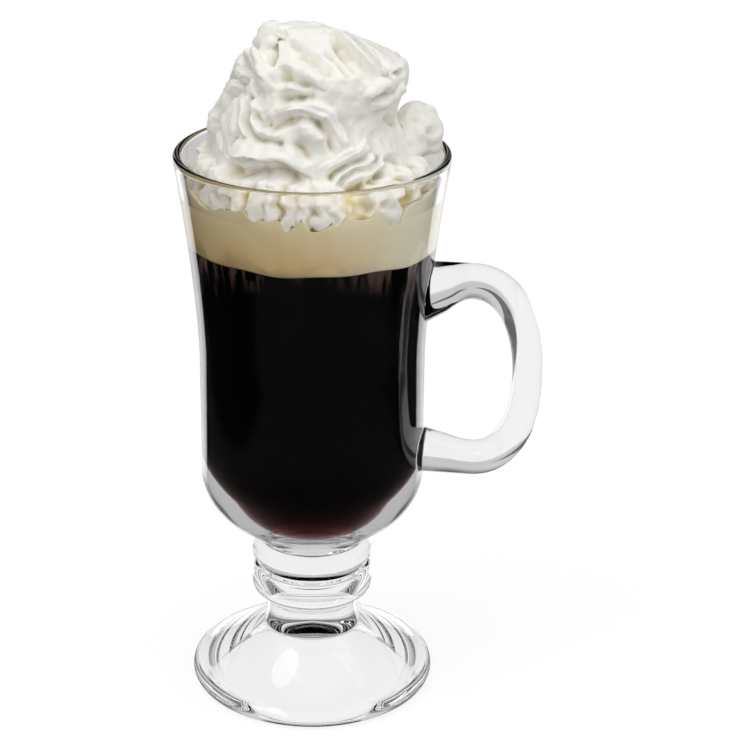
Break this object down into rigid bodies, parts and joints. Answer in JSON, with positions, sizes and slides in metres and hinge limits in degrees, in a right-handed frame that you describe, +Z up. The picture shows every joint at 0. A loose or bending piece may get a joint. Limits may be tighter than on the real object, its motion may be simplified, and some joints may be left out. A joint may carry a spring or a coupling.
{
  "type": "irish coffee mug",
  "caption": "Footed glass mug with a flared bowl, ringed stem and side handle, filled with coffee under a float of cream and a heap of whipped cream.",
  "frame": {"origin": "on the mug's axis, at the plane on which the foot stands", "axes": "+Z up along the mug's axis, +X along the handle"},
  "size_m": [0.0959, 0.0706, 0.1835],
  "materials": {
    "glass": "clear fire-polished soda-lime glass",
    "coffee": "dark liquid, almost black, reddish brown where it is thin",
    "cream_float": "coffee-stained liquid cream, mottled beige",
    "whipped_cream": "soft whipped cream, off white with a satin surface"
  },
  "bodies": {
    "root": {"bowl": "glass", "ringed_stem": "glass", "foot": "glass", "handle": "glass", "coffee": "coffee", "cream_float": "cream_float", "cream_base_layer": "whipped_cream", "cream_middle_layer": "whipped_cream", "cream_crest": "whipped_cream", "cream_dollop": "whipped_cream"}
  },
  "joints": []
}
